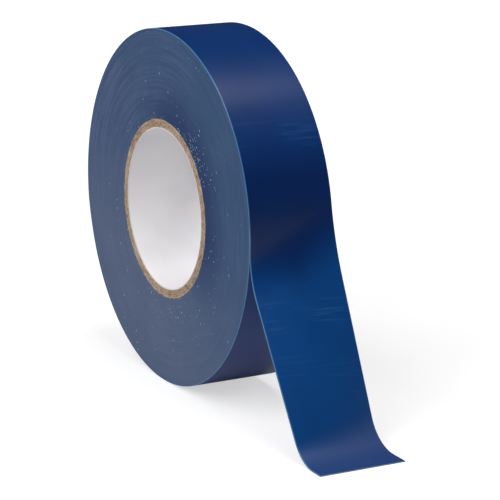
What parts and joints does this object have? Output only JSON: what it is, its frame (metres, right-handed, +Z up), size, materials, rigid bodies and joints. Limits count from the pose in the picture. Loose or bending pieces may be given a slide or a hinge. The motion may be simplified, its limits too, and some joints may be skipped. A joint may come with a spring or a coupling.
{
  "type": "electrical tape roll",
  "caption": "Roll of blue vinyl electrical tape on a board core, standing on its rim with its loose end peeled off and reaching the floor.",
  "frame": {"origin": "middle of the small flat on the rim that the roll stands on, straight under the roll's axis at mid width", "axes": "+X horizontal towards the loose end, +Y along the roll's axis from the front side face to the rear one, +Z up"},
  "size_m": [0.1055, 0.019, 0.0764],
  "materials": {
    "film": "gloss",
    "adhesive": "satin",
    "wound_edge": "matte",
    "board": "matte",
    "paper": "matte"
  },
  "bodies": {
    "roll": {"core_liner": "paper", "core_ply_1": "board", "core_ply_2": "board", "core_ply_3": "board", "core_ply_4": "board", "wound_tape": "wound_edge", "last_turn_adhesive": "adhesive", "last_turn_film": "film"},
    "lift_arc_2": {"lift_arc_2_adhesive": "adhesive", "lift_arc_2_film": "film"},
    "lift_arc_1": {"lift_arc_1_adhesive": "adhesive", "lift_arc_1_film": "film"},
    "tail_1": {"tail_1_adhesive": "adhesive", "tail_1_film": "film"},
    "tail_2": {"tail_2_adhesive": "adhesive", "tail_2_film": "film"},
    "tail_3": {"tail_3_adhesive": "adhesive", "tail_3_film": "film"},
    "tail_4": {"tail_4_adhesive": "adhesive", "tail_4_film": "film"},
    "tail_5": {"tail_5_adhesive": "adhesive", "tail_5_film": "film"}
  },
  "joints": [
    {"name": "lift_arc_2_peel", "type": "hinge", "parent": "roll", "child": "lift_arc_2", "pos_m": [0.01464, 0, 0.07344], "axis": [0, -1, 0], "range_deg": [0, 25]},
    {"name": "lift_arc_1_peel", "type": "hinge", "parent": "lift_arc_2", "child": "lift_arc_1", "pos_m": [0.03035, 0, 0.06139], "axis": [0, -1, 0], "range_deg": [0, 25]},
    {"name": "tail_peel", "type": "hinge", "parent": "lift_arc_1", "child": "tail_1", "pos_m": [0.03792, 0, 0.0431], "axis": [0, -1, 0], "range_deg": [0, 45]},
    {"name": "tail_bend_1", "type": "hinge", "parent": "tail_1", "child": "tail_2", "pos_m": [0.0406, 0, 0.03228], "axis": [0, -1, 0], "range_deg": [-10, 20]},
    {"name": "tail_bend_2", "type": "hinge", "parent": "tail_2", "child": "tail_3", "pos_m": [0.04555, 0, 0.02229], "axis": [0, -1, 0], "range_deg": [-15, 20]},
    {"name": "tail_bend_3", "type": "hinge", "parent": "tail_3", "child": "tail_4", "pos_m": [0.05114, 0, 0.0126], "axis": [0, -1, 0], "range_deg": [-20, 20]},
    {"name": "tail_bend_4", "type": "hinge", "parent": "tail_4", "child": "tail_5", "pos_m": [0.05693, 0, 0.00307], "axis": [0, -1, 0], "range_deg": [-25, 20]}
  ]
}
